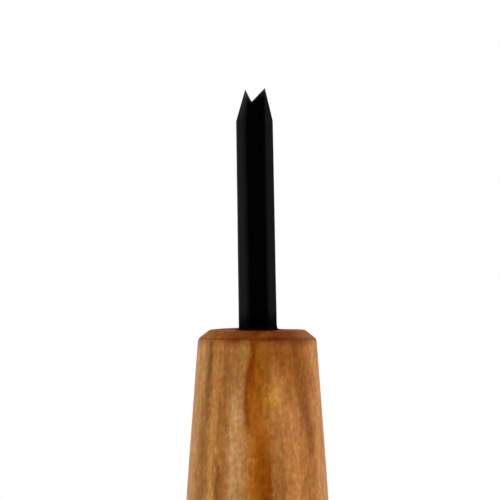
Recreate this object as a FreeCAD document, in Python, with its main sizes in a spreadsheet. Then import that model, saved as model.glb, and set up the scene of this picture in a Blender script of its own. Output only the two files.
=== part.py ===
"""Leather edge creaser: a blackened steel blade held by its tang in a turned wooden handle.

Three physical pieces, each its own object:
  creaser_blade  forged bar: two-pointed notched tip, bevelled shank, tapered tang
  handle         turned hardwood handle with a drilled, counterbored tang hole
  tang_bedding   cured black resin round the tang, with a bead at the foot of the blade

Frame: millimetres, +Z along the handle towards the points, -Y is the front face, +X is right,
origin at the centre of the handle's butt. The tang hole is drilled a little off the handle's
axis, so the blade, the hole and the resin share one canted frame with its origin at the crown.
"""

import FreeCAD, Part
import math
import os
import re

import Sketcher
from FreeCAD import Placement, Rotation, Vector

doc = FreeCAD.newDocument("edge_creaser")

# ---------------------------------------------------------------- driving dimensions
# alias, value in mm or degrees, note
DIMENSIONS = [
    # handle
    ("handle_len", 108.16, "butt to the crown of the nose"),
    ("nose_flat_r", 6.40, "radius where the crowned end meets the chamfer"),
    ("nose_crown", 0.36, "rise of the crowned end"),
    ("nose_cham_r", 7.90, "radius at the lower edge of the nose chamfer"),
    ("nose_cham_drop", 1.58, "crown to the lower edge of the nose chamfer"),
    ("nose_round", 0.90, "rounding under the nose chamfer"),
    ("nose_break", 0.22, "broken edge above the nose chamfer"),
    ("neck_r", 9.47, "radius where the straight taper ends"),
    ("neck_drop", 23.01, "crown to the end of the straight taper"),
    ("butt_r", 10.30, "radius above the butt chamfer"),
    ("butt_flat_r", 8.80, "radius of the flat the handle stands on"),
    ("butt_cham_rise", 1.35, "height of the butt chamfer"),
    ("butt_round", 0.90, "rounding over the butt chamfer"),
    ("butt_break", 0.25, "broken edge at the standing flat"),
    # tang hole
    ("cant_deg", 0.92, "lean of the hole and blade towards -X"),
    ("root_shift", 0.052, "blade axis off the handle axis at the nose"),
    ("hole_lead", 0.5, "how far above the crown the hole starts"),
    ("counter_dia", 6.10, "counterbore diameter"),
    ("counter_deep", 6.0, "counterbore depth below the crown"),
    ("pilot_dia", 4.60, "tang hole diameter"),
    ("pilot_deep", 48.0, "tang hole depth below the crown"),
    ("point_deg", 118.0, "drill point angle"),
    # blade
    ("foot_deep", 4.0, "full-section shank sunk below the crown"),
    ("blade_reach", 32.0, "bar length above the crown before the tip is cut"),
    ("half_w", 2.538, "half width of the bar at its foot"),
    ("half_t", 1.90, "half thickness of the bar at its foot"),
    ("front_flat_right", 1.42, "front flat, right of the axis"),
    ("front_flat_left", 1.28, "front flat, left of the axis"),
    ("right_side_half", 0.93, "half height of the right side face"),
    ("left_side_half", 0.74, "half height of the left side face"),
    ("back_flat_half", 1.40, "half width of the back flat"),
    ("soft_arris", 1.0, "rounding of the worn front left arris"),
    ("crisp_arris", 0.18, "rounding of the other long arrises"),
    ("bar_taper_deg", 0.188, "taper of the bar on each side"),
    # tip, in the blade's own frame, heights above the crown
    ("tip_side_x", 2.447, "half width where the tip starts to converge"),
    ("tip_side_up", 27.44, "height where the tip starts to converge"),
    ("guide_x", 1.17, "guide point, left of the axis"),
    ("guide_up", 31.6, "guide point height"),
    ("crease_x", 1.44, "creasing point, right of the axis"),
    ("crease_up", 31.75, "creasing point height"),
    ("notch_x", 0.34, "notch bottom, left of the axis"),
    ("notch_up", 29.97, "notch bottom height"),
    ("notch_round", 0.12, "radius left by the file in the notch"),
    ("point_flat", 0.12, "width of the blunted ends of the two points"),
    ("tip_clear", 2.0, "how far the tip cut runs past the bar"),
    ("thin_from", 20.3, "height where the back grind starts"),
    ("thin_back_y", 0.30, "back face at the points"),
    ("front_ease_from", 29.5, "height where the front is eased"),
    ("ease_step", 0.08, "depth of the easing where it starts"),
    ("front_ease", 0.38, "depth of the easing at the top of its cut"),
    ("grind_clear", 1.0, "how far the back and front cuts run past the bar"),
    # tang
    ("tang_lap", 0.6, "how far the tang starts inside the foot"),
    ("tang_w", 3.20, "tang width at the shoulder"),
    ("tang_t", 2.60, "tang thickness at the shoulder"),
    ("tang_end_w", 1.80, "tang width at its end"),
    ("tang_end_t", 1.60, "tang thickness at its end"),
    ("tang_deep", 45.5, "tang end below the crown"),
    ("tang_end_cham", 0.45, "chamfer on the tang's end"),
    # resin
    ("fill_drop", 0.06, "resin surface below the crown"),
    ("bead_up", 0.85, "height of the bead at the blade's foot"),
    ("bead_out", 0.18, "spread of the bead over its height"),
    ("bead_shift", 0.1, "bead pushed towards +X"),
    ("bead_lap", 0.04, "how far the bead sinks into the resin"),
]

sheet = doc.addObject("Spreadsheet::Sheet", "Params")
SIZE = {}
for row, (alias, size, note) in enumerate(DIMENSIONS, start=1):
    sheet.set(f"A{row}", alias)
    sheet.set(f"B{row}", str(size))
    sheet.set(f"C{row}", note)
    sheet.setAlias(f"B{row}", alias)
    SIZE[alias] = size
doc.recompute()

# The frame shared by the blade, the hole and the resin.
CANT = Rotation(Vector(0, 1, 0), -SIZE["cant_deg"])
CANTED = Placement(Vector(SIZE["root_shift"], 0, SIZE["handle_len"]), CANT)

# Corners (x, y) of the bar at its foot, from the front left, anticlockwise seen from the points.
BAR_CORNERS = [
    ("-front_flat_left", "-half_t"),
    ("front_flat_right", "-half_t"),
    ("half_w", "-right_side_half"),
    ("half_w", "right_side_half"),
    ("back_flat_half", "half_t"),
    ("-back_flat_half", "half_t"),
    ("-half_w", "left_side_half"),
    ("-half_w", "-left_side_half"),
]


# ---------------------------------------------------------------- formulas and bindings
# A formula is a sum of signed products of aliases and numbers, such as "-guide_x+0.5*point_flat".
def value_of(formula):
    """The number a formula has now."""
    total = 0.0
    for sign, product in re.findall(r"([+-]?)([^+-]+)", formula):
        amount = -1.0 if sign == "-" else 1.0
        for factor in product.split("*"):
            top, _, bottom = factor.partition("/")
            amount *= (SIZE[top] if top in SIZE else float(top)) / float(bottom or 1)
        total += amount
    return total


def sheet_expr(formula):
    """The same formula with each alias taken from the sheet."""
    return re.sub(r"[a-z]\w*", r"Params.\g<0>", formula)


def bind(feature, name, formula):
    """Sets a property and ties it to the sheet."""
    setattr(feature, name, value_of(formula))
    feature.setExpression(name, sheet_expr(formula))


# ---------------------------------------------------------------- sketches
def new_body(name):
    body = doc.addObject("PartDesign::Body", name)
    body.Label = name
    return body


def new_sketch(body, name, role, lift=None):
    """A sketch on one of the body's origin planes, raised along its normal by a formula."""
    sketch = body.newObject("Sketcher::SketchObject", name)
    plane = next(item for item in body.Origin.OriginFeatures if item.Role == role)
    sketch.AttachmentSupport = [(plane, "")]
    sketch.MapMode = "FlatFace"
    if lift is not None:
        sketch.AttachmentOffset = Placement(Vector(0, 0, value_of(lift)), Rotation())
        sketch.setExpression("AttachmentOffset.Base.z", sheet_expr(lift))
    return sketch


def pin_point(sketch, geo, pos, x_formula, y_formula):
    """Fixes one point of a sketch at distances from the origin that follow the sheet."""
    for kind, formula, tag, zero_axis in (
        ("DistanceX", x_formula, "x", -2),
        ("DistanceY", y_formula, "y", -1),
    ):
        distance = value_of(formula)
        if abs(distance) < 1e-9:
            sketch.addConstraint(Sketcher.Constraint("PointOnObject", geo, pos, zero_axis))
            continue
        if distance > 0:
            constraint = Sketcher.Constraint(kind, -1, 1, geo, pos, distance)
            bound = sheet_expr(formula)
        else:
            constraint = Sketcher.Constraint(kind, geo, pos, -1, 1, -distance)
            bound = "-(" + sheet_expr(formula) + ")"
        name = f"g{geo}p{pos}{tag}"
        sketch.renameConstraint(sketch.addConstraint(constraint), name)
        sketch.setExpression("Constraints." + name, bound)


def sketch_points(outline):
    return [Vector(value_of(x), value_of(y), 0) for x, y in outline]


def polygon_sketch(body, name, role, outline, lift=None):
    """A sketch of a closed polygon whose corners all follow the sheet."""
    sketch = new_sketch(body, name, role, lift)
    corners = sketch_points(outline)
    count = len(corners)
    for i in range(count):
        sketch.addGeometry(Part.LineSegment(corners[i], corners[(i + 1) % count]), False)
    for i in range(count):
        sketch.addConstraint(Sketcher.Constraint("Coincident", i, 2, (i + 1) % count, 1))
    for i, (x, y) in enumerate(outline):
        pin_point(sketch, i, 1, x, y)
    doc.recompute()
    return sketch


def rectangle(width, thickness):
    """Corners of a rectangle centred on the origin."""
    return [
        (f"-{width}/2", f"-{thickness}/2"),
        (f"{width}/2", f"-{thickness}/2"),
        (f"{width}/2", f"{thickness}/2"),
        (f"-{width}/2", f"{thickness}/2"),
    ]


# ---------------------------------------------------------------- features
def revolve(body, name, profile):
    """A full turn about the sketch's vertical axis."""
    turned = body.newObject("PartDesign::Revolution", name)
    turned.Profile = profile
    turned.ReferenceAxis = (profile, ["V_Axis"])
    turned.Angle = 360.0
    doc.recompute()
    return turned


def pad(body, name, profile, length, taper, downward=False):
    """A tapered pad. The length is a formula and the taper a sheet expression."""
    raised = body.newObject("PartDesign::Pad", name)
    raised.Profile = profile
    raised.Type = "Length"
    raised.Reversed = downward
    bind(raised, "Length", length)
    raised.setExpression("TaperAngle", taper)
    doc.recompute()
    return raised


def cut_through(body, name, role, sketch_name, outline):
    """A polygon cut through the body both ways from an origin plane."""
    profile = polygon_sketch(body, sketch_name, role, outline)
    pocket = body.newObject("PartDesign::Pocket", name)
    pocket.Profile = profile
    pocket.Type = "ThroughAll"
    pocket.SideType = "Symmetric"
    doc.recompute()
    return pocket


def dress(body, kind, name, base, size, test):
    """A fillet or chamfer on the base's edges for which test(edge, middle point) is true."""
    names = []
    for i, edge in enumerate(base.Shape.Edges, start=1):
        middle = edge.valueAt((edge.FirstParameter + edge.LastParameter) / 2)
        if test(edge, middle):
            names.append(f"Edge{i}")
    if not names:
        raise RuntimeError("no edges for " + name)
    dressed = body.newObject("PartDesign::" + kind, name)
    dressed.Base = (base, names)
    bind(dressed, {"Fillet": "Radius", "Chamfer": "Size"}[kind], size)
    doc.recompute()
    return dressed


def near(a, b, tol=0.02):
    return abs(a - b) < tol


def is_ring(edge, radius, z):
    """A level circle of this radius at this height."""
    box = edge.BoundBox
    return near(box.ZMin, z) and near(box.ZMax, z) and near(box.XMax, radius)


def is_arris(edge, middle, corners):
    """A long edge that rises from one of these corners of the bar."""
    return edge.Length > 20 and any(
        near(middle.x, corner.x, 0.12) and near(middle.y, corner.y, 0.12) for corner in corners
    )


def is_across(edge, middle, x, z):
    """An edge that runs front to back at this place of the tip's outline."""
    box = edge.BoundBox
    in_place = near(middle.x, x, 0.05) and near(middle.z, z, 0.05)
    return in_place and box.XLength < 0.05 and box.ZLength < 0.05


# ---------------------------------------------------------------- handle
# Corners (radius, height) of half the turned outline, from the butt's centre up to the crown.
HANDLE_OUTLINE = [
    ("0", "0"),
    ("butt_flat_r", "0"),
    ("butt_r", "butt_cham_rise"),
    ("neck_r", "handle_len-neck_drop"),
    ("nose_cham_r", "handle_len-nose_cham_drop"),
    ("nose_flat_r", "handle_len-nose_crown"),
    ("0", "handle_len"),
]
# fillet name, ring radius, ring height, rounding
HANDLE_ROUNDINGS = [
    ("nose_rounding", "nose_cham_r", "handle_len-nose_cham_drop", "nose_round"),
    ("nose_broken_edge", "nose_flat_r", "handle_len-nose_crown", "nose_break"),
    ("butt_rounding", "butt_r", "butt_cham_rise", "butt_round"),
    ("butt_broken_edge", "butt_flat_r", "0", "butt_break"),
]


def belly_arc(butt, neck, nose):
    """The arc from butt to neck that meets the straight taper from neck to nose smoothly."""
    taper = (nose - neck).normalize()
    inward = Vector(-abs(taper.y), taper.x, 0)
    chord = butt - neck
    radius = chord.Length**2 / (2 * abs(chord.dot(inward)))
    centre = neck + inward * radius
    middle = centre + ((butt + neck) * 0.5 - centre).normalize() * radius
    return Part.Arc(butt, middle, neck)


def crown_arc(rim, crown):
    """The shallow arc from the rim to the crown, centred on the axis."""
    rise = SIZE["nose_crown"]
    radius = (rim.x**2 + rise**2) / (2 * rise)
    mid_x = rim.x / 2
    middle = Vector(mid_x, crown.y - radius + math.sqrt(radius**2 - mid_x**2), 0)
    return Part.Arc(rim, middle, crown)


def handle_profile(body):
    sketch = new_sketch(body, "turned_profile", "XZ_Plane")
    corners = sketch_points(HANDLE_OUTLINE)
    # 0 standing flat, 1 butt chamfer, 2 belly, 3 straight taper, 4 nose chamfer,
    # 5 crowned end, 6 axis: each element starts at the corner with its own number
    for element in (
        Part.LineSegment(corners[0], corners[1]),
        Part.LineSegment(corners[1], corners[2]),
        belly_arc(corners[2], corners[3], corners[4]),
        Part.LineSegment(corners[3], corners[4]),
        Part.LineSegment(corners[4], corners[5]),
        crown_arc(corners[5], corners[6]),
        Part.LineSegment(corners[6], corners[0]),
    ):
        sketch.addGeometry(element, False)

    def end_at(geo, corner):
        """Which end of an element lies at a corner; an arc may be stored either way round."""
        start_gap = (sketch.getPoint(geo, 1) - corners[corner]).Length
        finish_gap = (sketch.getPoint(geo, 2) - corners[corner]).Length
        return 1 if start_gap < finish_gap else 2

    neck, crowned_end, count = 3, 5, len(corners)
    for before in range(count):
        after = (before + 1) % count
        kind = "Tangent" if after == neck else "Coincident"
        sketch.addConstraint(
            Sketcher.Constraint(kind, before, end_at(before, after), after, end_at(after, after))
        )
    # element, corner
    for geo, corner in ((0, 0), (1, 1), (1, 2), (3, 3), (4, 4), (4, 5), (6, 6)):
        pin_point(sketch, geo, end_at(geo, corner), *HANDLE_OUTLINE[corner])
    sketch.addConstraint(Sketcher.Constraint("PointOnObject", crowned_end, 3, -2))
    doc.recompute()
    return sketch


def drill_tang_hole(body):
    """Drilled from the nose, counterbored for the foot of the shank, a little off square."""
    centre = new_sketch(body, "hole_centre", "XY_Plane")
    centre.AttachmentOffset = Placement(CANTED.multVec(Vector(0, 0, SIZE["hole_lead"])), CANT)
    centre.setExpression(
        "AttachmentOffset.Base.x",
        "Params.root_shift - Params.hole_lead * sin(Params.cant_deg * 1 deg)",
    )
    centre.setExpression(
        "AttachmentOffset.Base.z",
        "Params.handle_len + Params.hole_lead * cos(Params.cant_deg * 1 deg)",
    )
    mark_r = 2.0  # the circle only marks the centre; the hole has its own diameters
    centre.addGeometry(Part.Circle(Vector(0, 0, 0), Vector(0, 0, 1), mark_r), False)
    centre.addConstraint(Sketcher.Constraint("Coincident", 0, 3, -1, 1))
    centre.addConstraint(Sketcher.Constraint("Radius", 0, mark_r))
    doc.recompute()

    hole = body.newObject("PartDesign::Hole", "tang_hole")
    hole.Profile = centre
    hole.DepthType = "Dimension"
    hole.Threaded = False
    bind(hole, "Diameter", "pilot_dia")
    bind(hole, "Depth", "pilot_deep+hole_lead")
    hole.DrillPoint = "Angled"
    bind(hole, "DrillPointAngle", "point_deg")
    hole.DrillForDepth = False
    hole.HoleCutType = "Counterbore"
    bind(hole, "HoleCutDiameter", "counter_dia")
    bind(hole, "HoleCutDepth", "counter_deep+hole_lead")
    doc.recompute()


def build_handle():
    body = new_body("handle")
    eased = revolve(body, "turned", handle_profile(body))
    for name, radius, height, rounding in HANDLE_ROUNDINGS:
        ring_r, ring_z = value_of(radius), value_of(height)
        eased = dress(
            body, "Fillet", name, eased, rounding,
            lambda edge, middle: is_ring(edge, ring_r, ring_z),
        )
    drill_tang_hole(body)
    return body


# ---------------------------------------------------------------- blade
def build_bar(body):
    """The tapered eight-sided bar with its long arrises rounded."""
    section = polygon_sketch(body, "bar_section", "XY_Plane", BAR_CORNERS, "-foot_deep")
    bar = pad(body, "bar", section, "foot_deep+blade_reach", "-Params.bar_taper_deg")
    corners = sketch_points(BAR_CORNERS)
    worn = dress(
        body, "Fillet", "worn_arris", bar, "soft_arris",
        lambda edge, middle: is_arris(edge, middle, corners[:1]),
    )
    dress(
        body, "Fillet", "long_arrises", worn, "crisp_arris",
        lambda edge, middle: is_arris(edge, middle, corners[1:]),
    )


def cut_tip(body):
    """Cuts away all outside the two points and the notch, then thins the back and front."""
    # Each converging side is carried on below its start, by twice its run up to the point,
    # so that it cuts clean.
    left_x, left_up = "-3*tip_side_x+2*guide_x", "3*tip_side_up-2*guide_up"
    right_x, right_up = "3*tip_side_x-2*crease_x", "3*tip_side_up-2*crease_up"
    tip_outline = [
        (left_x, left_up),
        ("-guide_x-0.5*point_flat", "guide_up"),
        ("-guide_x+0.5*point_flat", "guide_up"),
        ("-notch_x", "notch_up"),
        ("crease_x-0.5*point_flat", "crease_up"),
        ("crease_x+0.5*point_flat", "crease_up"),
        (right_x, right_up),
        (right_x + "+tip_clear", right_up),
        (right_x + "+tip_clear", "blade_reach+tip_clear"),
        (left_x + "-tip_clear", "blade_reach+tip_clear"),
        (left_x + "-tip_clear", left_up),
    ]
    tip = cut_through(body, "tip_cut", "XZ_Plane", "tip_outline", tip_outline)
    dress(
        body, "Fillet", "file_radius", tip, "notch_round",
        lambda edge, middle: is_across(edge, middle, -SIZE["notch_x"], SIZE["notch_up"]),
    )

    # (y, height) outlines: the back ground thin towards the points, the front eased near them
    back_outline = [
        ("half_t", "thin_from"),
        ("half_t+grind_clear", "thin_from"),
        ("half_t+grind_clear", "blade_reach+grind_clear"),
        ("thin_back_y", "blade_reach+grind_clear"),
        ("thin_back_y", "crease_up"),
    ]
    cut_through(body, "back_grind", "YZ_Plane", "tip_thinning", back_outline)
    front_outline = [
        ("-half_t+ease_step", "front_ease_from"),
        ("-half_t+front_ease", "blade_reach+grind_clear"),
        ("-half_t-grind_clear", "blade_reach+grind_clear"),
        ("-half_t-grind_clear", "front_ease_from"),
    ]
    cut_through(body, "front_ease_cut", "YZ_Plane", "front_easing", front_outline)


def add_tang(body):
    """A tapered bar that starts just inside the foot, chamfered at its end."""
    top = polygon_sketch(
        body, "tang_top", "XY_Plane", rectangle("tang_w", "tang_t"), "tang_lap-foot_deep"
    )
    end = polygon_sketch(
        body, "tang_end", "XY_Plane", rectangle("tang_end_w", "tang_end_t"), "-tang_deep"
    )
    tang = body.newObject("PartDesign::AdditiveLoft", "tang")
    tang.Profile = top
    tang.Sections = [end]
    tang.Ruled = True
    doc.recompute()
    dress(
        body, "Chamfer", "tang_end_chamfer", tang, "tang_end_cham",
        lambda edge, middle: near(edge.BoundBox.ZMax, -SIZE["tang_deep"], 0.01),
    )


def build_blade():
    body = new_body("creaser_blade")
    build_bar(body)
    cut_tip(body)
    add_tang(body)
    body.Placement = CANTED
    return body


# ---------------------------------------------------------------- resin
def build_bedding(blade):
    """Resin down to the full-width end of the hole and a bead above, less the blade."""
    fill = new_body("bedding_fill")
    # (radius, height) outline
    fill_outline = [
        ("0", "-fill_drop"),
        ("0", "-pilot_deep"),
        ("pilot_dia/2", "-pilot_deep"),
        ("pilot_dia/2", "-counter_deep"),
        ("counter_dia/2", "-counter_deep"),
        ("counter_dia/2", "-fill_drop"),
    ]
    revolve(fill, "poured", polygon_sketch(fill, "fill_profile", "XZ_Plane", fill_outline))

    # The bead has the bar's section at its top and spreads on its way down.
    bead_outline = [(x + "+bead_shift", y) for x, y in BAR_CORNERS]
    section = polygon_sketch(fill, "bead_section", "XY_Plane", bead_outline, "bead_up")
    pad(
        fill, "bead", section, "bead_up+fill_drop+bead_lap",
        "atan(Params.bead_out / Params.bead_up)", downward=True,
    )
    fill.Placement = CANTED
    doc.recompute()

    bedding = doc.addObject("Part::Cut", "tang_bedding")
    bedding.Label = "tang_bedding"
    bedding.Base = fill
    bedding.Tool = blade
    doc.recompute()
    return bedding


# ---------------------------------------------------------------- build, check and export
handle = build_handle()
blade = build_blade()
bedding = build_bedding(blade)

bad = [item.Name for item in doc.Objects if any(s in item.State for s in ("Invalid", "Error"))]
if bad:
    raise RuntimeError("failed objects: " + ", ".join(bad))
for item in doc.Objects:
    if item.TypeId == "Sketcher::SketchObject" and item.solve() != 0:
        raise RuntimeError("sketch doesn't solve: " + item.Name)

os.makedirs("parts", exist_ok=True)
for piece in (handle, blade, bedding):
    shape = piece.Shape
    if shape.isNull() or not shape.isValid() or len(shape.Solids) != 1:
        raise RuntimeError(f"{piece.Label}: null, invalid or {len(shape.Solids)} solids")
    shape.exportStep(os.path.join("parts", piece.Label + ".step"))
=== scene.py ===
"""Looks for the edge creaser: turned hardwood handle, blackened steel blade, black bedding resin.

The tool stands upright on its butt: +Z runs towards the two points, -Y is the front face and +X is
on the right. Each CAD node is replaced by a finer mesh made here. Sizes are in millimetres.
"""

import math

import bpy
import numpy as np
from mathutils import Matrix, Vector


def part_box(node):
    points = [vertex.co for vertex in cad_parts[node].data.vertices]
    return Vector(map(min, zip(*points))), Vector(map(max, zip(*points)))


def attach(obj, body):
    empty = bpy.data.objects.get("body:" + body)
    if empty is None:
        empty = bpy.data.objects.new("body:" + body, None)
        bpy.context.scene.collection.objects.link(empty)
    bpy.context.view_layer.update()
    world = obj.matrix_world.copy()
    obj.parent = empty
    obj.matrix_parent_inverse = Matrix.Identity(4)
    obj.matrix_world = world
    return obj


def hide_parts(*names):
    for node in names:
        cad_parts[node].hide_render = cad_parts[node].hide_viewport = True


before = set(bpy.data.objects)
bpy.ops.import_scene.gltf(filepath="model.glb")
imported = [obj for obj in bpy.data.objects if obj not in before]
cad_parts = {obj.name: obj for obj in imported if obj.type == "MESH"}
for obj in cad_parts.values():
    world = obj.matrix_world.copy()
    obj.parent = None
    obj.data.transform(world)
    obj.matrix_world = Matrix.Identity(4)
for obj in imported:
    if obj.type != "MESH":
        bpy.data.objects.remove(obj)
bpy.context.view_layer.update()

MM = 0.001

# Handle: the nose is the end that holds the blade, drops are measured down from the crown
NOSE_FLAT_R, NOSE_CROWN = 6.40, 0.36
NOSE_CHAM_R, NOSE_CHAM_DROP = 7.90, 1.58
NECK_R, NECK_DROP = 9.47, 23.01
BUTT_R, BUTT_FLAT_R, BUTT_RISE = 10.30, 8.80, 1.35
HANDLE_SEGMENTS = 256

# Tang hole
COUNTER_R, COUNTER_DEEP = 3.05, 6.0
PILOT_R, PILOT_DEEP = 2.30, 48.0
DRILL_HALF_ANGLE = math.radians(59)

# Top of the crowned end on the axis; the tang hole has taken the very middle away
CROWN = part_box("handle")[1][2] / MM + NOSE_CROWN * ((COUNTER_R - 0.05) / NOSE_FLAT_R) ** 2
CHAM_Z = CROWN - NOSE_CHAM_DROP

# Blade, in its own leaning frame with heights above the crown
CANT = math.radians(0.92)  # lean towards -X
COS_CANT, SIN_CANT = math.cos(CANT), math.sin(CANT)
ROOT_X = 0.052  # blade axis off the handle axis at the crown
HALF_W, HALF_T = 2.538, 1.90
TAPER = math.tan(math.radians(0.188))
# Bevels: inner edge's distance from the axis, depth lost per mm further out
FRONT_LEFT, FRONT_RIGHT = (1.28, 0.92), (1.40, 0.95)
BACK_LEFT, BACK_RIGHT = (1.40, 1.16), (1.40, 0.885)
TIP_X, TIP_UP = 2.447, 27.44  # where the sides start to converge
GUIDE = (-1.17, 31.61)  # left point
CREASE = (1.44, 31.76)  # right point
NOTCH = (-0.34, 30.01)
THIN_FROM, THIN_TO, THIN_Y = 20.3, 31.85, 0.30  # grind on the back
MIN_HALF_SIDE = 0.16
SHOULDER_Z = -4.0
TANG_TOP, TANG_END = (1.6, 1.3), (0.92, 0.82)  # half width, half thickness
TANG_Z = -45.1
TANG_TIP = (-45.5, 0.60, 0.50)
WALL_POINTS = 9  # points across the thickness of the side walls

# Resin
RESIN_SEGMENTS = 144
GAP = 0.01  # clearance to the wood
BITE = 0.02  # overlap into the steel

FLOOR_R, FLOOR_RINGS, FLOOR_SEGMENTS = 620.0, 12, 96


# ------------------------------------------------------------------ mesh helpers
def lattice_noise(points, seed, cell):
    """Smooth value noise, -1..1, at points (n, 3), on a lattice of this cell size."""
    scaled = np.asarray(points, float) / np.asarray(cell, float) + 1000.0
    index = np.floor(scaled).astype(np.int64)
    part = scaled - index
    part = part * part * (3 - 2 * part)
    total = 0.0
    for corner in np.ndindex(2, 2, 2):
        at = index + np.array(corner)
        mixed = at[:, 0] * 374761393 + at[:, 1] * 668265263 + at[:, 2] * 2147483647
        mixed = mixed + seed * 144269504
        mixed = (mixed ^ (mixed >> 13)) * 1274126177
        mixed = mixed ^ (mixed >> 16)
        weight = np.where(corner, part, 1 - part)
        value = (mixed & 0xFFFF) / 32767.5 - 1.0
        total = total + weight[:, 0] * weight[:, 1] * weight[:, 2] * value
    return total


def smooth(start, end, x):
    t = np.clip((np.asarray(x, float) - start) / (end - start), 0, 1)
    return t * t * (3 - 2 * t)


def to_row(points):
    """Blade-frame points to the handle's frame."""
    p = np.asarray(points, float)
    x = p[..., 0] * COS_CANT - p[..., 2] * SIN_CANT + ROOT_X
    z = p[..., 0] * SIN_CANT + p[..., 2] * COS_CANT + CROWN
    return np.stack([x, p[..., 1], z], axis=-1)


def make_mesh(name, verts, faces):
    mesh = bpy.data.meshes.new(name)
    mesh.from_pydata([tuple(v) for v in np.asarray(verts) * MM], [], faces)
    mesh.validate()
    mesh.update()
    piece = bpy.data.objects.new(name, mesh)
    bpy.context.scene.collection.objects.link(piece)
    for polygon in mesh.polygons:
        polygon.use_smooth = True
    return piece


def circle(count):
    """Unit directions (x, y) around the axis, starting at the front."""
    angle = np.arange(count) * 2 * math.pi / count
    return np.stack([np.sin(angle), -np.cos(angle)], axis=1)


def level(directions, radius, z):
    return np.column_stack([directions * radius, np.full(len(directions), z)])


def tube(rings):
    """Verts and faces for stacked rings, closed by a fan to a centre point at each end."""
    count = len(rings[0])
    bottom = len(rings) * count
    last = bottom - count
    around = [(j, (j + 1) % count) for j in range(count)]
    faces = []
    for low in range(0, last, count):
        high = low + count
        faces += [(low + j, low + k, high + k, high + j) for j, k in around]
    faces += [(bottom, k, j) for j, k in around]
    faces += [(bottom + 1, last + j, last + k) for j, k in around]
    centres = [rings[0].mean(axis=0), rings[-1].mean(axis=0)]
    return np.concatenate([*rings, np.array(centres)]), faces


# ------------------------------------------------------------------ handle
def rounded(points, radii, step):
    """A polyline (r, z) with its corners rounded, sampled about every step mm. One radius each."""
    pts = [np.array(p, float) for p in points]
    groups = []
    for i, corner in enumerate(pts):
        if radii[i] <= 0 or i in (0, len(pts) - 1):
            groups.append([corner])
            continue
        back, ahead = pts[i - 1] - corner, pts[i + 1] - corner
        back_length, ahead_length = np.linalg.norm(back), np.linalg.norm(ahead)
        back, ahead = back / back_length, ahead / ahead_length
        half = math.acos(max(-1, min(1, float(back @ ahead)))) / 2
        trim = min(radii[i] / math.tan(half), back_length * 0.48, ahead_length * 0.48)
        start, end = corner + back * trim, corner + ahead * trim
        pull = corner + (start + end - 2 * corner) * 0.08
        count = max(4, int(round(trim * 2 / 0.12)))
        arc = []
        for k in range(count + 1):
            t = k / count
            arc.append((1 - t) ** 2 * start + 2 * t * (1 - t) * pull + t**2 * end)
        groups.append(arc)
    line = [groups[0][0]]
    for group in groups[1:]:
        start, end = line[-1], group[0]
        count = max(1, int(round(np.linalg.norm(end - start) / step)))
        line += [start + (end - start) * k / count for k in range(1, count + 1)]
        line += group[1:]
    return np.array(line)


def crown_height(x, y):
    """Height of the hand-finished end face relative to CROWN. It leans a little towards the front,
    falls away to both sides, and is rubbed lower behind the blade on the right."""
    x, y = np.asarray(x, float), np.asarray(y, float)
    inside = np.minimum(1.0, NOSE_FLAT_R / np.maximum(np.hypot(x, y), 1e-6))
    x, y = x * inside, y * inside
    lean = -0.27 + 0.043 * y - 0.020 * np.abs(x)
    rubbed = np.exp(-(((x - 3.5) / 1.9) ** 2)) * smooth(-1.0, 4.0, y)
    return lean - 0.13 * rubbed


def belly(z):
    """Radius below the neck: an arc that meets the nose's straight taper tangentially."""
    slope = (NOSE_CHAM_R - NECK_R) / (NECK_DROP - NOSE_CHAM_DROP)
    inward = np.array([-1.0, slope]) / math.hypot(slope, 1.0)
    neck = np.array([NECK_R, CROWN - NECK_DROP])
    chord = np.array([BUTT_R, BUTT_RISE]) - neck
    arc_r = (chord @ chord) / (2 * abs(chord @ inward))
    centre_r, centre_z = neck + inward * arc_r
    return centre_r + math.sqrt(arc_r * arc_r - (z - centre_z) ** 2)


def handle_profile():
    """Outline (r, z) from the middle of the butt up to the tang hole."""
    body = [(belly(z), z) for z in np.linspace(BUTT_RISE, CROWN - NECK_DROP, 26)]
    points = [(0.02, 0.0), (BUTT_FLAT_R, 0.0)] + body
    points += [(NOSE_CHAM_R, CHAM_Z), (NOSE_FLAT_R, CROWN - NOSE_CROWN)]
    crown_r = NOSE_FLAT_R**2 / (2 * NOSE_CROWN)
    for r in (5.6, 4.8, 4.0, 3.5):
        points.append((r, CROWN - crown_r + math.sqrt(crown_r**2 - r * r)))
    radii = [0, 0.25, 0.9] + [0] * (len(body) - 1) + [0.9, 0.3] + [0] * 4
    return rounded(points, radii, step=0.36)


def hand_finish(grid):
    """Moves the turned surface's points to where sanding left them, and tilts the end face."""
    radius = np.hypot(grid[:, 0], grid[:, 1])
    side = smooth(5.0, 7.5, radius)
    # the turned surface is very slightly uneven
    wobble = (
        0.030 * lattice_noise(grid, 3, (9.0, 9.0, 16.0))
        + 0.012 * lattice_noise(grid, 5, (3.0, 3.0, 9.0))
        + 0.006 * lattice_noise(grid, 7, (0.9, 0.9, 6.0))
    ) * side
    scale = 1 + wobble * smooth(0.0, 0.8, grid[:, 2]) / np.maximum(radius, 1.0)
    grid[:, :2] *= scale[:, None]
    # the chamfer's lower rim wanders a little
    rim = np.exp(-(((grid[:, 2] - CHAM_Z) / 0.45) ** 2)) * side
    grid[:, 2] += rim * 0.035 * lattice_noise(grid, 11, (4.0, 4.0, 40.0))
    # the end face follows the leaning crown, and the chamfer takes up the difference
    share = np.clip((grid[:, 2] - CHAM_Z) / (NOSE_CHAM_DROP - NOSE_CROWN), 0, 1)
    share = share * smooth(8.4, 7.9, radius)
    even = -NOSE_CROWN * np.minimum(radius / NOSE_FLAT_R, 1.0) ** 2
    grid[:, 2] += share * (crown_height(grid[:, 0], grid[:, 1]) - even)


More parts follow.
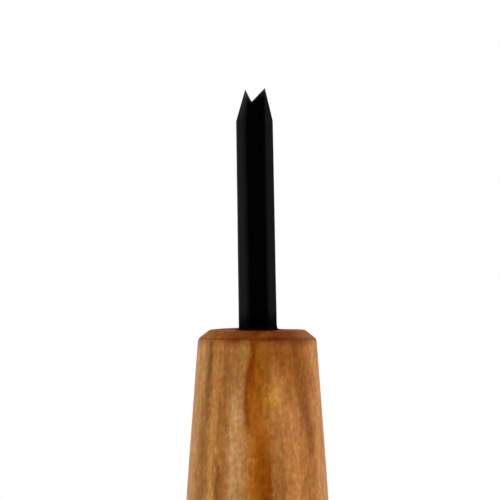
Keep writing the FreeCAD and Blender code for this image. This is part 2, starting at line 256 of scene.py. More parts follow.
def hole_rings(directions):
    """The counterbore and the tang hole, on the blade's own axis."""
    stations = [  # radius, height
        (COUNTER_R + 0.05, 0.0),
        (COUNTER_R, -0.12),
        (COUNTER_R, -3.0),
        (COUNTER_R, -COUNTER_DEEP),
        (PILOT_R, -COUNTER_DEEP),
    ]
    for k in range(1, 9):
        stations.append((PILOT_R, -COUNTER_DEEP - (PILOT_DEEP - COUNTER_DEEP) * k / 8))
    stations.append((0.05, -PILOT_DEEP - PILOT_R / math.tan(DRILL_HALF_ANGLE)))
    rings = []
    for r, z in stations:
        ring = to_row(level(directions, r, z))
        if z > -0.5:  # the mouth follows the end face
            ring[:, 2] = CROWN + crown_height(ring[:, 0], ring[:, 1]) + z
        rings.append(ring)
    return rings


def build_handle():
    directions = circle(HANDLE_SEGMENTS)
    profile = handle_profile()
    grid = np.concatenate([level(directions, r, z) for r, z in profile])
    hand_finish(grid)
    rings = np.split(grid, len(profile)) + hole_rings(directions)
    return make_mesh("handle_wood", *tube(rings))


# ------------------------------------------------------------------ blade
def soft_min(a, b, blend):
    """Smooth minimum with a blend about this wide."""
    share = np.clip(0.5 + 0.5 * (b - a) / blend, 0, 1)
    return b + (a - b) * share - blend * share * (1 - share)


def bevelled(flat, outwards, bevel):
    edge, slope = bevel
    return flat - (outwards - edge) * slope


def front_depth(x, z):
    """Depth (-y) of the front: flat, with a soft bevel on the left and a crisper one on the right."""
    flat = HALF_T - TAPER * z
    # the left bevel's inner edge moves outwards over the last four millimetres
    creep = 0.16 * smooth(27.8, 31.2, z)
    depth = soft_min(flat, bevelled(flat, -x + creep, FRONT_LEFT), 0.50)
    crisp = 0.12 + 0.20 * smooth(28.0, 20.0, z)
    depth = soft_min(depth, bevelled(flat, x, FRONT_RIGHT), crisp)
    # the outermost quarter millimetre rolls over towards the side faces
    roll = np.clip((np.abs(x) - (HALF_W - TAPER * z - 0.26)) / 0.26, 0, 1)
    ease = np.maximum(z - 29.5, 0) * 0.13
    return depth - ease - 0.30 * roll**2


def back_depth(x, z):
    """Depth (+y) of the back: flat, two bevels, and the grind that thins it towards the points."""
    flat = HALF_T - TAPER * z
    depth = soft_min(flat, bevelled(flat, -x, BACK_LEFT), 0.12)
    depth = soft_min(depth, bevelled(flat, x, BACK_RIGHT), 0.12)
    grind = HALF_T - (z - THIN_FROM) * (HALF_T - THIN_Y) / (THIN_TO - THIN_FROM)
    return soft_min(depth, grind, 0.35)


def tip_outline(count):
    """Top edge (x, z) from the left point down into the notch and up to the right point."""
    corners = (  # corner, offsets (x, z) from it that round it off
        (GUIDE, ((-0.045, -0.10), (0, 0), (0.05, -0.06))),
        (NOTCH, ((-0.115, 0.17), (-0.06, 0.055), (-0.01, 0.01))),
        (NOTCH, ((0.04, 0.005), (0.10, 0.045), (0.20, 0.14))),
        (CREASE, ((-0.07, -0.05), (0, 0), (0.04, -0.10))),
    )
    points = np.array([(c[0] + dx, c[1] + dz) for c, offsets in corners for dx, dz in offsets])
    run = np.r_[0, np.cumsum(np.hypot(*np.diff(points, axis=0).T))]
    keys = np.unique(np.r_[run, np.linspace(0, run[-1], count)])
    return np.stack([np.interp(keys, run, points[:, k]) for k in (0, 1)], axis=1)


def blade_rows():
    """Rows of (x, z) from the shoulder up to the top edge, shape (rows, columns, 2)."""
    top = tip_outline(70)
    shares = np.r_[0, np.cumsum(np.abs(np.diff(top[:, 0])) + 1e-4)]
    shares /= shares[-1]
    heights = np.r_[np.linspace(SHOULDER_Z, 26.6, 88), np.linspace(26.75, TIP_UP, 6)]
    half_widths = HALF_W - TAPER * heights
    half_widths[-1] = TIP_X
    rows = []
    for z, half in zip(heights, half_widths):
        rows.append(np.stack([-half + 2 * half * shares, np.full(len(top), z)], axis=1))
    base = rows[-1]
    for k in range(1, 31):
        t = k / 30
        rows.append(base * (1 - t) + top * t)
    return np.array(rows)


def box_point(direction, half_w, half_t):
    """The point where a ray in this direction leaves a rounded rectangle."""
    power = 9
    reach = abs(direction[0] / half_w) ** power + abs(direction[1] / half_t) ** power
    return direction * reach ** (-1 / power)


def add_tang(verts, faces, previous):
    """The shoulder and the tapered tang close the bar below the loop of vertices previous."""
    loop_xy = np.array([verts[i][:2] for i in previous])
    stations = [(SHOULDER_Z, 1.66, 1.36)]  # height, half width, half thickness
    for k in range(1, 13):
        halves = [a + (b - a) * k / 12 for a, b in zip(TANG_TOP, TANG_END)]
        stations.append((SHOULDER_Z + (TANG_Z - SHOULDER_Z) * k / 12, *halves))
    stations.append(TANG_TIP)
    count = len(previous)
    for z, half_w, half_t in stations:
        ids = list(range(len(verts), len(verts) + count))
        verts += [(*box_point(xy, half_w, half_t), z) for xy in loop_xy]
        for k in range(count):
            after = (k + 1) % count
            faces.append((previous[k], ids[k], ids[after], previous[after]))
        previous = ids
    centre = len(verts)
    verts.append((0, 0, TANG_TIP[0]))
    for k in range(count):
        faces.append((centre, previous[(k + 1) % count], previous[k]))


def blade_shape():
    rows = blade_rows()
    high, wide = rows.shape[:2]
    x, z = rows[..., 0], rows[..., 1]
    front_y, back_y = -front_depth(x, z), back_depth(x, z)
    # side faces keep a minimum thickness so that the bar's section stays an octagon
    middle = (front_y + back_y) / 2
    half = np.maximum((back_y - front_y) / 2, MIN_HALF_SIDE)
    verts = []
    for y in (middle - half, middle + half):
        verts += list(np.stack([x, y, z], axis=-1).reshape(-1, 3))
    front = np.arange(high * wide).reshape(high, wide)
    back = front + high * wide
    faces = []
    for i in range(high - 1):
        for j in range(wide - 1):
            k, m = i + 1, j + 1
            faces.append((front[i, j], front[i, m], front[k, m], front[k, j]))
            faces.append((back[i, j], back[k, j], back[k, m], back[i, m]))

    def columns(front_line, back_line):
        """Vertices across the thickness between two lines that share their x and z."""
        found = []
        for start, end in zip(front_line, back_line):
            first, last = np.array(verts[start]), np.array(verts[end])
            ids = [start]
            for k in range(1, WALL_POINTS - 1):
                ids.append(len(verts))
                verts.append(first + (last - first) * (k / (WALL_POINTS - 1)))
            found.append(ids + [end])
        return found

    def strip(walls, order):
        for one, two in zip(walls, walls[1:]):
            for k in range(WALL_POINTS - 1):
                quad = (one[k], one[k + 1], two[k + 1], two[k])
                faces.append(tuple(quad[corner] for corner in order))

    left = columns(front[:, 0], back[:, 0])
    strip(left, (3, 2, 1, 0))
    right = columns(front[:, -1], back[:, -1])
    strip(right, (0, 1, 2, 3))
    # the top edge shares its end columns with the side walls
    top = [left[-1]] + columns(front[-1, 1:-1], back[-1, 1:-1]) + [right[-1]]
    strip(top, (0, 3, 2, 1))
    foot = list(front[0]) + right[0][1:-1] + list(back[0, ::-1]) + left[0][1:-1][::-1]
    add_tang(verts, faces, foot)
    return np.array(verts, float), faces


def build_blade():
    verts, faces = blade_shape()
    # the bar is a touch uneven: long shallow waves, finer ripples across the bevels
    ripple = 0.014 * lattice_noise(verts, 21, (2.2, 2.2, 7.0))
    ripple = ripple + 0.006 * lattice_noise(verts, 23, (0.9, 0.9, 2.2))
    x, y, z = verts.T
    keep = smooth(31.5, 29.0, z) * smooth(-4.5, -3.0, z) + 0.25 * smooth(29.0, 31.5, z)
    y += ripple * keep * np.sign(y)
    x += 0.7 * ripple * keep * np.sign(x) * smooth(1.2, 2.4, np.abs(x))
    piece = make_mesh("blade_steel", to_row(verts), faces)
    bevel = piece.modifiers.new("worn_edges", "BEVEL")
    bevel.width = 0.055 * MM
    bevel.segments = 2
    bevel.limit_method = "ANGLE"
    bevel.angle_limit = math.radians(38)
    bevel.harden_normals = False
    return piece


# ------------------------------------------------------------------ bedding resin
def bar_faces():
    """The bar's eight faces at the foot: outward normal and distance from the axis."""
    faces = [((0, -1), HALF_T), ((0, 1), HALF_T), ((1, 0), HALF_W), ((-1, 0), HALF_W)]
    for side_x, side_y, (edge, slope) in (
        (1, -1, FRONT_RIGHT),
        (-1, -1, FRONT_LEFT),
        (1, 1, BACK_RIGHT),
        (-1, 1, BACK_LEFT),
    ):
        unit = 1 / math.hypot(1, slope)
        faces.append(((side_x * slope * unit, side_y * unit), (HALF_T + edge * slope) * unit))
    return faces


def steel_reach(direction):
    """How far from the blade's axis the resin meets the bar, along a direction."""
    reach = 1e9
    for (x, y), distance in bar_faces():
        facing = x * direction[0] + y * direction[1]
        if facing > 1e-6:
            reach = min(reach, (distance - BITE) / facing)
    return reach


def spread(direction):
    """How far the bead spreads over the wood: most at the front, and more right than left."""
    right, ahead = 0.5 + 0.5 * direction[0], max(0.0, -direction[1])
    return 0.06 + 0.20 * right**2.5 + 0.55 * ahead**2


def climb(direction):
    """How far the bead climbs the steel: most on the right, little at the front."""
    right, ahead = 0.5 + 0.5 * direction[0], max(0.0, -direction[1])
    return (0.16 + 0.62 * right**2) * (1.0 - 0.75 * ahead)


def crown_at(x, y):
    """Height of the crowned end in the blade's own leaning frame."""
    return float((crown_height(x * COS_CANT + ROOT_X, y) - x * SIN_CANT) / COS_CANT)


def bead_rings(directions):
    """The flush top, then the bead and its climb up the steel."""
    uneven_spread = lattice_noise(level(directions, 2.2, 0.0), 31, (0.9, 0.9, 1.0))
    uneven_climb = lattice_noise(level(directions, 2.6, 0.0), 37, (0.55, 0.55, 1.0))
    start = COUNTER_R - 0.05
    rings = []
    for step in range(13):
        ring = []
        for j, direction in enumerate(directions):
            inner = steel_reach(direction)
            width = spread(direction) * (1 + 0.30 * uneven_spread[j]) + 0.02
            height = climb(direction) * (1 + 0.18 * uneven_climb[j])
            if step <= 3:
                r = start + (inner + width - start) * step / 3
                z = crown_at(*(r * direction)) - 0.05 + 0.035 * (step / 3) ** 2
            else:
                # concave: a quarter-turn from lying on the wood to climbing the steel
                t = (step - 3) / 9
                turn = t * math.pi / 2
                r = inner + width * (1 - math.sin(turn)) ** 1.15
                z = crown_at(*(r * direction)) * (1 - t) - 0.015
                z += height * (1 - math.cos(turn)) ** 1.25
            ring.append((*(r * direction), z))
        rings.append(np.array(ring))
    return rings


def build_resin():
    directions = circle(RESIN_SEGMENTS)
    pilot, counter = PILOT_R - GAP, COUNTER_R - GAP
    # height and radius, up the wall of the hole
    stations = [(-PILOT_DEEP, 0.3), (-PILOT_DEEP, pilot)]
    for k in range(1, 6):
        stations.append((-PILOT_DEEP + (PILOT_DEEP - COUNTER_DEEP) * k / 6, pilot))
    stations += [(-COUNTER_DEEP - 0.02, pilot), (-COUNTER_DEEP + 0.02, counter)]
    stations += [(-3.0, counter), (-0.75, counter), (-0.60, counter - 0.01)]
    rings = [level(directions, r, z) for z, r in stations]
    rings += bead_rings(directions)
    # down the inside, against the bar and then the tang
    for z in (-0.8, -3.99):
        rings.append(np.array([(*(d * steel_reach(d)), z) for d in directions]))
    for z, half_w, half_t in ((SHOULDER_Z, 1.64, 1.34), (-25.0, 1.25, 1.05), (-45.4, 0.90, 0.80)):
        ring = [(*box_point(d, half_w - BITE, half_t - BITE), z) for d in directions]
        rings.append(np.array(ring))
    verts, faces = tube(rings)
    return make_mesh("bedding_resin", to_row(verts), faces)


# ------------------------------------------------------------------ node graphs
def plug(slot, value):
    if isinstance(value, Value):
        value.tree.links.new(value.output, slot)
    else:
        slot.default_value = value


def add_node(tree, kind, inputs=(), output=0, **settings):
    """Adds a node and returns one of its outputs. inputs maps slots to values."""
    node = tree.nodes.new(kind)
    for name, setting in settings.items():
        setattr(node, name, setting)
    for slot, value in dict(inputs).items():
        plug(node.inputs[slot], value)
    return Value(tree, node.outputs[output])


def linear(colour):
    """An 8-bit sRGB colour as linear RGBA."""
    channels = [c / 255.0 for c in colour]
    return tuple(c / 12.92 if c <= 0.04045 else ((c + 0.055) / 1.055) ** 2.4 for c in channels) + (
        1.0,
    )


def mix(mask, under, over):
    """Colours are node values or 8-bit tuples."""
    inputs = {0: mask}
    for slot, colour in ((6, under), (7, over)):
        inputs[slot] = linear(colour) if isinstance(colour, tuple) else colour
    return add_node(mask.tree, "ShaderNodeMix", inputs, output=2, data_type="RGBA")


def math_method(operation):
    return lambda self, *others: self.math(operation, *others)


class Value:
    """A node output that takes arithmetic, so that a material reads like a formula."""

    def __init__(self, tree, output):
        self.tree, self.output = tree, output

    def math(self, operation, *others, clamp=False):
        operands = dict(enumerate((self,) + others))
        return add_node(
            self.tree, "ShaderNodeMath", operands, operation=operation, use_clamp=clamp
        )

    __add__ = math_method("ADD")
    __sub__ = math_method("SUBTRACT")
    __mul__ = math_method("MULTIPLY")
    __truediv__ = math_method("DIVIDE")
    abs = math_method("ABSOLUTE")
    sqrt = math_method("SQRT")
    cos = math_method("COSINE")
    exp = math_method("EXPONENT")
    max = math_method("MAXIMUM")
    min = math_method("MINIMUM")

    def __neg__(self):
        return self * -1.0

    def __rsub__(self, number):
        return (self * -1.0) + number

    def clamp(self):
        return self.math("ADD", 0.0, clamp=True)

    def ease(self):
        """Clamped to 0..1 and eased at both ends."""
        t = self.clamp()
        return t * t * (3.0 - t * 2.0)

    def bell(self, centre, width):
        """1 at centre, falling off as a Gaussian."""
        away = (self - centre) / width
        return (-(away * away)).exp()

    def step(self, zero_at, one_at):
        """Smooth 0 to 1 between two values, in either order."""
        falls = zero_at > one_at
        inputs = {
            "Value": self,
            "From Min": min(zero_at, one_at),
            "From Max": max(zero_at, one_at),
            "To Min": 1.0 if falls else 0.0,
            "To Max": 0.0 if falls else 1.0,
        }
        return add_node(
            self.tree, "ShaderNodeMapRange", inputs, output="Result", interpolation_type="SMOOTHSTEP"
        )

    def paint(self, mask, colour, amount=None):
        """This colour with another laid over it where mask is 1."""
        return mix(mask if amount is None else mask * amount, self, colour)

    def split(self):
        node = add_node(self.tree, "ShaderNodeSeparateXYZ", {0: self}).output.node
        return [Value(self.tree, output) for output in node.outputs]


class Graph:
    def __init__(self, tree):
        self.tree = tree
        tree.nodes.clear()

    def add(self, kind, inputs=(), output=0, **settings):
        return add_node(self.tree, kind, inputs, output, **settings)

    def coords(self):
        """Object coordinates x, y, z in millimetres; noise uses them too."""
        place = self.add("ShaderNodeTexCoord", output="Object")
        inputs = {0: place, "Scale": 1000.0}
        self.place = self.add("ShaderNodeVectorMath", inputs, operation="SCALE")
        return self.place.split()

    def normal(self):
        return self.add("ShaderNodeNewGeometry", output="Normal").split()

    def noise(self, across, along, detail, rough, shift=(0, 0, 0)):
        """Noise of about -1..1. Its features are across mm in x and y, and along mm in z."""
        inputs = {
            "Vector": self.place,
            "Scale": (1.0 / across, 1.0 / across, 1.0 / along),
            "Location": shift,
        }
        place = self.add("ShaderNodeMapping", inputs)
        inputs = {"Vector": place, "Scale": 1.0, "Detail": detail, "Roughness": rough}
        return (self.add("ShaderNodeTexNoise", inputs) - 0.5) * 2.0

    def ramp(self, position, stops, interpolation="LINEAR"):
        """stops: position, 8-bit colour."""
        colour = self.add("ShaderNodeValToRGB", {0: position})
        ramp = colour.output.node.color_ramp
        ramp.interpolation = interpolation
        while len(ramp.elements) > 1:
            ramp.elements.remove(ramp.elements[-1])
        for k, (at, stop_colour) in enumerate(stops):
            element = ramp.elements[0] if k == 0 else ramp.elements.new(at)
            element.position = at
            element.color = linear(stop_colour)
        return colour

    def bump(self, height, distance, strength):
        inputs = {"Distance": distance * MM, "Strength": strength, "Height": height}
        return self.add("ShaderNodeBump", inputs)

    def surface(self, inputs):
        shader = self.add("ShaderNodeBsdfPrincipled", inputs)
        plug(self.tree.nodes.new("ShaderNodeOutputMaterial").inputs["Surface"], shader)


def new_material(name):
    material = bpy.data.materials.new(name)
    material.use_nodes = True
    return material, Graph(material.node_tree)


# ------------------------------------------------------------------ wood
# In the masks, z is the height above the butt; layer and vein are distances from the axis as a
# share of the handle's radius, positive on the right.
LAYER_SPAN = 1.40
LAYERS = [  # layer, colour
    (-1.40, (172, 114, 58)), (-1.22, (144, 88, 34)), (-1.08, (173, 117, 61)),
    (-0.97, (164, 116, 67)), (-0.90, (166, 115, 64)), (-0.84, (152, 103, 49)),
    (-0.77, (143, 92, 36)), (-0.70, (175, 121, 63)), (-0.63, (174, 118, 61)),
    (-0.55, (159, 105, 47)), (-0.49, (157, 102, 48)), (-0.37, (198, 149, 103)),
    (-0.25, (186, 134, 86)), (-0.14, (174, 117, 57)), (0.16, (166, 109, 53)),
    (0.30, (161, 104, 56)), (0.42, (173, 114, 62)), (0.57, (187, 124, 71)),
    (0.69, (174, 114, 60)), (0.80, (166, 107, 54)), (0.90, (178, 121, 67)),
    (1.02, (164, 106, 52)), (1.14, (178, 120, 62)), (1.26, (146, 88, 34)),
    (1.40, (170, 112, 56)),
]


def layer_colour(graph, layer, z, upper):
    """Growth layers, with the ones that change colour towards the nose."""
    stops = [((at + LAYER_SPAN) / (2 * LAYER_SPAN), colour) for at, colour in LAYERS]
    position = ((layer + LAYER_SPAN) / (2 * LAYER_SPAN)).clamp()
    col = graph.ramp(position, stops, "EASE")
    # the pale layer left of the middle fades out, and the right half deepens
    col = col.paint(z.step(96.6, 102.2) * layer.bell(-0.34, 0.17), (155, 97, 42), amount=0.85)
    right = z.step(99.6, 103.8) * layer.step(-0.02, 0.20) * layer.step(0.86, 0.62)
    col = col.paint(right, (150, 86, 28), amount=0.80)
    # a pale patch right of the middle
    col = col.paint((z.bell(98.9, 2.9) * layer.bell(0.31, 0.17) * 0.92).clamp(), (200, 139, 77))
    right = upper * layer.step(0.34, 0.50) * layer.step(0.94, 0.82)
    col = col.paint(right, (152, 90, 34), amount=0.58)
    # short dark bands, right and then left
    bands = z.step(100.8, 103.4) * layer.bell(0.39, 0.10) * 0.40
    bands = bands + z.bell(100.2, 1.7) * layer.bell(0.50, 0.10) * 0.42
    bands = bands + z.bell(96.7, 1.9) * layer.bell(0.66, 0.06) * 0.40
    col = col.paint(bands.clamp(), (134, 70, 24))
    return col.paint(z.step(101.4, 103.6) * layer.bell(-0.64, 0.07), (138, 86, 34), amount=0.50)


def add_heart(col, vein, z, low, lowest, bulge, streaky):
    """The orange heart layer: sharp on its left higher up, on its right lower down."""
    near = z.step(99.6, 105.4)
    left_edge = near * 0.08 + low * 0.085 - bulge * 0.055 - lowest * 0.012 - 0.225
    right_edge = low * -0.085 - bulge * 0.045 + 0.335
    heart = ((vein - left_edge) / (low * 0.13 - lowest * 0.06 + 0.07)).ease()
    heart = heart * ((right_edge - vein) / (low * -0.37 + 0.46)).ease()
    # it thins at two heights
    heart = heart * streaky * (1.0 - z.bell(94.4, 1.7) * (vein.step(0.06, -0.10) * 0.50 + 0.12))
    heart = heart * (1.0 - z.bell(96.9, 3.4) * vein.step(-0.12, 0.04) * 0.12)
    glow = (z.bell(96.7, 4.6) * vein.step(-0.22, 0.03)).max(low * vein.step(0.06, -0.12) * 0.9)
    heart_col = mix(glow, (141, 74, 5), (172, 94, 8))
    heart_col = heart_col.paint(lowest * vein.bell(0.15, 0.08), (132, 64, 4), amount=0.9)
    col = col.paint((heart * 1.02).clamp(), heart_col)
    # dark line along its left edge
    line = (vein - left_edge - 0.04).bell(0.0, 0.045) * (1.0 - low) * 0.50
    return col.paint(line.clamp(), (112, 52, 5)), heart


def end_grain(graph, layer, offset, blotch):
    """Darker and redder colour for the chamfers and ends."""
    speckle = graph.noise(0.40, 0.40, 3, 0.65, (1, 1, 1))
    strokes = graph.noise(1.8, 0.16, 2, 0.6, (9, 9, 2))
    rings = (layer * 2.2 * math.pi).cos() * 0.16
    tone = rings + speckle * 0.40 + blotch * 0.45 + strokes * 0.35 + 0.5
    tone = tone + offset.bell(-0.47, 0.24) * 0.12 - offset.step(-0.5, 0.1) * 0.15
    stops = [(0, (80, 30, 0)), (0.5, (109, 51, 3)), (1, (146, 88, 26))]
    col = graph.ramp(tone.clamp(), stops)
    # paler towards both sides
    col = col.paint(offset.step(0.1, 0.9), (116, 61, 28), amount=0.6)
    col = col.paint(offset.step(0.50, 0.90), (142, 90, 52), amount=0.6)
    return col.paint(offset.step(-0.66, -0.92), (142, 94, 46), amount=0.6)


def nose_marks(graph, col, end, x, y, z, mottle, blotch):
    # burnished line under the nose chamfer, stronger in places
    line = z.bell(CHAM_Z - 0.10, 0.30)
    rubbed = x.bell(-3.1, 1.2) + x.bell(2.9, 2.7)
    uneven = graph.noise(2.0, 50.0, 2, 0.5, (8, 8, 8)) * 0.7
    uneven = (uneven + rubbed * 0.62 + 0.30).clamp()
    missed = 1.0 - x.bell(-5.0, 0.8) * 0.65 - x.bell(-1.5, 0.8) * 0.30
    col = col.paint(line * uneven * missed, (92, 31, 0), amount=0.80)
    # softer shade below it, with one lighter spot
    under = z.bell(CHAM_Z - 0.38, 0.55) * (1.0 - end) * (1.0 - x.bell(1.7, 1.5) * 0.6)
    deeper = x.bell(-4.3, 0.8) * 0.22 + x.bell(4.1, 1.5) * 0.24
    col = col.paint(under * (uneven * missed * 0.42 + deeper + 0.20), (108, 50, 0))
    spot = z.bell(105.5, 0.65) * x.bell(0.6, 0.9) * (1.0 - end)
    col = col.paint(spot, (172, 104, 36), amount=0.45)
    # painted contact shadow with some dark stain where the steel meets the wood, reaching further
    # forwards
    across = (x - ROOT_X) / 3.1
    along = y.min(0.0) / 6.9 + y.max(0.0) / 3.6
    reach = (across * across + along * along).sqrt()
    shadow_and_stain = (reach + mottle * 0.16 + blotch * 0.22).step(1.26, 0.76)
    shadow_and_stain = shadow_and_stain * z.step(CROWN - 1.50, CROWN - 0.55)
    return col.paint(shadow_and_stain, (20, 8, 2), amount=0.92)


def wood_material():
    material, graph = new_material("turned_hardwood")
    noise = graph.noise  # cell across, cell along, detail, roughness, shift
    x, y, z = graph.coords()
    # Growth layers stand nearly edge-on to the front and spread with the handle's taper.
    # The fibres wander slowly about them.
    local_radius = ((z * -1.0 + CHAM_Z) * 0.0733 + NOSE_CHAM_R).min(10.9).max(7.5)
    slow = noise(6.0, 16.0, 2, 0.5, (3, 1, 7))
    medium = noise(1.8, 5.0, 2, 0.55, (9, 4, 1))
    quick = noise(0.7, 2.0, 2, 0.6, (2, 6, 12))
    offset = x / local_radius
    edge_on = offset.abs().step(0.98, 0.70)
    layer = offset + slow * (edge_on * -0.045 + 0.085) + medium * 0.050 + quick * 0.034
    vein = offset + slow * 0.020 + medium * 0.045 + quick * 0.045
    # zones along the handle
    upper, low, lowest = z.step(96.6, 100.6), z.step(97.0, 92.2), z.step(91.2, 88.8)
    bulge = z.bell(92.6, 1.7)
    streaky = (noise(0.50, 4.0, 2, 0.6, (13, 3, 8)) * 0.30 + 1.0).min(1.06)
    col = layer_colour(graph, layer, z, upper)
    col, heart = add_heart(col, vein, z, low, lowest, bulge, streaky)
    # a dark layer on the right that drifts outwards as the handle widens
    drift = (z * -0.0132 + 2.0238).min(0.77)
    dark = vein.bell(drift, upper * 0.034 + 0.082) * (z.step(89.6, 95.2) * 0.58 + 0.30)
    col = col.paint((dark * streaky).clamp(), (128, 70, 18))
    # short stretches of single layers
    col = col.paint(z.bell(98.2, 3.2) * layer.bell(0.86, 0.05), (138, 82, 30), amount=0.34)
    col = col.paint(lowest * layer.bell(-0.36, 0.07), (146, 96, 46), amount=0.24)
    col = col.paint(bulge * vein.bell(0.26, 0.05), (192, 136, 86), amount=0.42)
    col = col.paint(bulge * vein.bell(-0.16, 0.05), (146, 86, 30), amount=0.36)
    # two narrow dark growth lines on the left
    first = (vein + z.step(104.0, 94.0) * 0.045 + 0.758).bell(0.0, 0.038)
    first = first * (z.step(95.5, 103.6) * 0.64 + bulge * 0.14 + 0.13)
    second = (vein + lowest * -0.042 + 0.592).bell(0.0, 0.036)
    second = second * (z.step(102.0, 98.5) * 0.27 + lowest * 0.36 + bulge * 0.06)
    col = col.paint(((first + second) * streaky).clamp(), (102, 62, 4))
    # fibres, streaks, blotches and a fine mottle make it lighter or darker
    streak = noise(0.80, 5.0, 3, 0.55, (31, 7, 5))
    fibre = noise(0.46, 2.5, 2, 0.5, (0, 3, 11))
    fine = noise(0.25, 0.34, 2, 0.55, (7, 0, 4))
    blotch = noise(1.8, 2.4, 3, 0.55, (5, 5, 5))
    mottle = noise(0.56, 0.66, 2, 0.45, (2, 8, 1))
    flame = noise(0.60, 1.9, 2, 0.45, (6, 16, 21)).step(-0.10, 0.14) * 2.0 - 1.0
    fleck = noise(0.40, 0.9, 2, 0.55, (26, 6, 2)).step(0.12, 0.30)
    tone = streak * 0.47 + fibre * 0.61 + fine * 0.14 + blotch * 0.41 + mottle * 0.82
    tone = tone + flame * 0.090 - fleck * 0.12 - 0.01
    # hue wanders on its own: greener gold in places, redder in others
    hue = noise(1.2, 1.5, 2, 0.5, (41, 2, 9)) + noise(0.6, 1.2, 1, 0.5, (4, 12, 6)) * 0.5
    pale = noise(1.3, 1.7, 2, 0.5, (14, 22, 3))
    # the dark and orange layers lose blue
    blue = tone * 0.86 + hue * 0.12 + pale * 0.75 - 0.25 - heart * 0.30 - first * 0.85
    blue = blue - dark * (z.step(99.5, 103.0) * 0.25 + 0.38)
    blue = blue - z.step(100.5, 102.8) * layer.bell(-0.40, 0.10) * 0.14
    blue = blue - upper * layer.step(0.36, 0.56) * layer.step(1.0, 0.80) * 0.20
    red, green = tone * 0.42 - hue * 0.09, tone * 0.60 + hue * 0.17 - 0.040
    gains = {0: red.exp(), 1: green.exp(), 2: blue.exp()}
    shift = graph.add("ShaderNodeCombineXYZ", gains)
    col = graph.add("ShaderNodeVectorMath", {0: col, 1: shift}, operation="MULTIPLY")
    # pores: short dark dashes along the grain
    pore = noise(0.20, 1.2, 1, 0.5, (17, 5, 3)).step(0.36, 0.62)
    col = col.paint(pore, (92, 46, 10), amount=0.35)
    end = graph.normal()[2].abs().step(0.16, 0.50)
    col = col.paint(end, end_grain(graph, layer, offset, blotch), amount=0.94)
    col = nose_marks(graph, col, end, x, y, z, mottle, blotch)
    relief = fibre * 0.40 + fine * 0.30 + streak * 0.2 - pore * 0.9 + mottle * 0.2
    graph.surface({
        "Base Color": col,
        "Roughness": fibre * 0.05 + mottle * 0.05 + end * 0.12 + pore * 0.12 + 0.46,
        "Specular IOR Level": (1.0 - end * 0.8125) * 0.08,
        "Normal": graph.bump(relief, distance=0.020, strength=0.8),
    })
    return material


# ------------------------------------------------------------------ blackened steel
def rubbed_tip(x, z):
    """Mask of the notch's edges and the two points, which are rubbed paler."""
    blade_x = (x - ROOT_X) * COS_CANT + (z - CROWN) * SIN_CANT
    blade_z = (z - CROWN) * COS_CANT - (x - ROOT_X) * SIN_CANT
    walls = []  # distances from the notch's two walls
    for (x0, z0), (x1, z1) in ((GUIDE, NOTCH), (NOTCH, CREASE)):
        length = math.hypot(x1 - x0, z1 - z0)
        rise, run = (z1 - z0) / length, (x1 - x0) / length
        walls.append((blade_x - x0) * rise - (blade_z - z0) * run)
    rub = walls[0].abs().min(walls[1].abs()).step(0.36, 0.05) * blade_z.step(29.7, 30.7)
    rub = (rub + blade_z.step(30.2, 31.4) * 0.8).min(1.0)
    # less on the right, below its point
    return rub * (1.0 - blade_x.step(-0.30, 0.60) * blade_z.step(31.5, 31.1) * 0.70)


def steel_material():
    material, graph = new_material("blackened_steel")
    x, _, z = graph.coords()
    normal_x, normal_y, _ = graph.normal()
    # cell across, cell along, detail, roughness, shift
    scale = graph.noise(0.9, 1.6, 3, 0.6, (4, 2, 6))
    grind = graph.noise(0.09, 2.8, 2, 0.6, (1, 9, 3))
    cross = graph.noise(1.4, 0.07, 2, 0.6, (6, 3, 2))
    # left-facing surfaces near the tip are paler: wear, and a painted highlight on the side the light
    # falls on
    tip = z.step(CROWN + 27.0, CROWN + 30.8)
    worn_and_highlight = (tip * normal_x.step(-0.05, -0.5) * 1.0).clamp()
    stops = [(0, (0.5, 0.5, 0.5)), (0.55, (1.1, 1.1, 1.1)), (1, (3.2, 3.0, 2.9))]
    base = graph.ramp((scale * 0.5 + 0.5).clamp(), stops)
    base = base.paint(worn_and_highlight, (34, 24, 26), amount=0.8)
    base = base.paint(rubbed_tip(x, z), (66, 60, 60), amount=0.85)
    # the narrow side faces are painted a little greyer: a painted sheen
    side = normal_x.abs().step(0.88, 0.97) * normal_y.step(-0.25, -0.05)
    base = base.paint(side * (scale * 0.5 + 0.75).clamp(), (17, 17, 17))
    # shine: less on the sides, near the handle (painted shade from the wood) and on right-facing
    # surfaces
    matte = normal_x.abs().step(0.80, 0.95)
    shaded_near_handle = z.step(CROWN + 0.3, CROWN + 2.8) * 0.72 + 0.28
    shine = (1.0 - matte * 0.60) * (scale * 0.4 + 1.4) * shaded_near_handle
    shine = shine * (1.0 - normal_x.step(0.35, 0.6) * 0.24)
    # the front flat and the outer right arris are dull
    arris = normal_x.step(0.71, 0.82) * (-normal_y).step(0.05, 0.25)
    shine = shine * (1.0 - normal_y.step(-0.93, -0.985) * 0.55) * (1.0 - arris * 0.6)
    relief = grind * 0.5 + scale * 0.5 + cross * 0.12
    graph.surface({
        "Base Color": base,
        "Specular IOR Level": (shine + worn_and_highlight * 1.5) * 0.04,
        "Roughness": (scale * 0.06 + grind * 0.05 + cross * 0.02 + 0.40).clamp(),
        "Normal": graph.bump(relief, distance=0.010, strength=0.7),
    })
    return material


# ------------------------------------------------------------------ resin and floor
def resin_material():
    material, graph = new_material("black_resin")
    graph.coords()
    # cell across, cell along, detail, roughness, shift
    lump = graph.noise(0.5, 0.4, 3, 0.6, (3, 3, 3))
    dust = graph.noise(0.12, 0.12, 2, 0.6, (5, 1, 8)).step(0.25, 0.7)
    stops = [(0, (0.8, 0.7, 0.7)), (1, (2.6, 2.0, 1.8))]
    base = graph.ramp((lump * 0.5 + 0.5).clamp(), stops)
    graph.surface({
        "Base Color": base.paint(dust, (22, 11, 6), amount=0.22),
        "Roughness": (lump * 0.10 + dust * 0.15 + 0.60).clamp(),
        "Specular IOR Level": 0.012,
        "Normal": graph.bump(lump * 0.7 + dust * 0.2, distance=0.02, strength=0.8),
    })
    return material


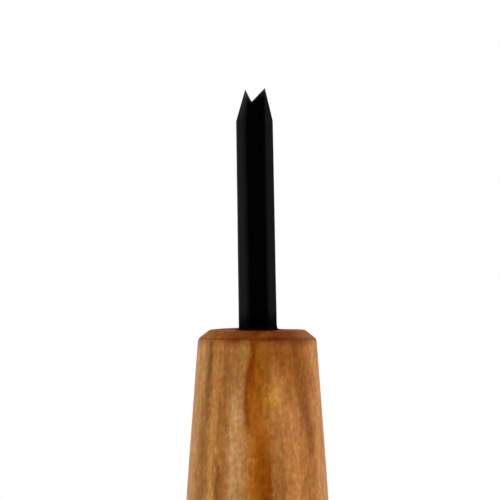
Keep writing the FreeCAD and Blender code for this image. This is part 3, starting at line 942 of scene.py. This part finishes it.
def floor_material():
    """Pale, and fading out towards the rim."""
    material, graph = new_material("pale_floor")
    x, y, _ = graph.coords()
    cloud = graph.noise(across=30, along=30, detail=3, rough=0.5)
    stops = [(0, (236, 236, 235)), (1, (243, 243, 242))]
    graph.surface({
        "Base Color": graph.ramp((cloud * 0.5 + 0.5).clamp(), stops),
        "Roughness": 0.7,
        "Specular IOR Level": 0.2,
        "Alpha": (x * x + y * y).sqrt().step(560.0, 180.0),
    })
    return material


def build_floor():
    """A disc of rings around a centre point, which is the last vertex."""
    count = FLOOR_SEGMENTS
    angle = np.arange(count) * 2 * math.pi / count
    rim = np.stack([np.cos(angle), np.sin(angle)], axis=1)
    rings = [level(rim, FLOOR_R * k / FLOOR_RINGS, 0.0) for k in range(1, FLOOR_RINGS + 1)]
    verts = np.concatenate(rings + [np.zeros((1, 3))])
    around = [(j, (j + 1) % count) for j in range(count)]
    faces = []
    for inner in range(0, (FLOOR_RINGS - 1) * count, count):
        outer = inner + count
        faces += [(inner + j, outer + j, outer + k, inner + k) for j, k in around]
    faces += [(len(verts) - 1, j, k) for j, k in around]
    return make_mesh("floor", verts, faces)


# ------------------------------------------------------------------ world and camera
def build_world():
    world = bpy.data.worlds.new("studio")
    bpy.context.scene.world = world
    world.use_nodes = True
    graph = Graph(world.node_tree)
    _, y, z = graph.add("ShaderNodeTexCoord", output="Generated").split()
    front = -y  # 1 straight behind the camera
    # dark behind the camera, bright around the sides, dimmer straight behind the tool
    around = front.step(0.88, 0.42) * (front.step(-0.25, -0.9) * -0.45 + 1.0)
    light = around * 1.62 + 0.015
    light = light + z.step(0.35, 0.95) * 0.25  # a little more from above
    white = (1.0, 1.0, 1.0, 1.0)
    lit = graph.add("ShaderNodeBackground", {"Color": white, "Strength": light})
    seen = graph.add("ShaderNodeBackground", {"Color": white, "Strength": 1.0})
    camera_ray = graph.add("ShaderNodeLightPath", output="Is Camera Ray")
    shader = graph.add("ShaderNodeMixShader", {0: camera_ray, 1: lit, 2: seen})
    plug(graph.tree.nodes.new("ShaderNodeOutputWorld").inputs["Surface"], shader)


def build_camera():
    scene = bpy.context.scene
    scene.view_settings.view_transform = "Standard"
    scene.view_settings.look = "None"
    scene.view_settings.exposure = 0.0
    scene.view_settings.gamma = 1.0
    lens = bpy.data.cameras.new("camera")
    lens.sensor_width = 36.0
    lens.lens = 216.0
    lens.clip_start, lens.clip_end = 0.01, 20.0
    camera = bpy.data.objects.new("camera", lens)
    scene.collection.objects.link(camera)
    eye = Vector((-0.984 * MM, -400.0 * MM, 107.3 * MM))
    aim = Vector((-0.984 * MM, 0.0, 118.43 * MM))
    camera.location = eye
    camera.rotation_mode = "QUATERNION"
    camera.rotation_quaternion = (aim - eye).to_track_quat("-Z", "Y")
    scene.camera = camera


# ------------------------------------------------------------------ assembly
handle, blade, resin = build_handle(), build_blade(), build_resin()
handle.data.materials.append(wood_material())
blade.data.materials.append(steel_material())
resin.data.materials.append(resin_material())
for piece, node, slot_name in (
    (handle, "handle", "turned_hardwood"),
    (blade, "creaser_blade", "blackened_steel"),
    (resin, "tang_bedding", "black_resin"),
):
    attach(piece, "root")
    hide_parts(node)

floor = build_floor()
floor.data.materials.append(floor_material())
build_world()
build_camera()
